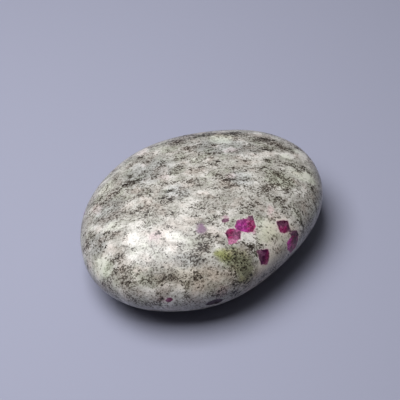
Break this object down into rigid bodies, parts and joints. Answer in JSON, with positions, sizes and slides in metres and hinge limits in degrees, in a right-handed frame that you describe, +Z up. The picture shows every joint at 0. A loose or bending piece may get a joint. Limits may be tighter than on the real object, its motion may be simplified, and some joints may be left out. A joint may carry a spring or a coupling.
{
  "type": "polished ruby in albite pebble",
  "caption": "Polished oval pebble of speckled pale rock with flush ruby crystals; lies stable on a small flat spot as a palm stone, mineral sample or paperweight.",
  "frame": {"origin": "on the small flat spot the pebble rests on, under the middle of its plan", "axes": "+X along the long axis of the oval, +Y across it, +Z up out of the surface it rests on"},
  "size_m": [0.0643, 0.048, 0.0242],
  "materials": {
    "stone": "hand-polished, satin to glossy"
  },
  "bodies": {
    "root": {"stone": "stone"}
  },
  "joints": []
}
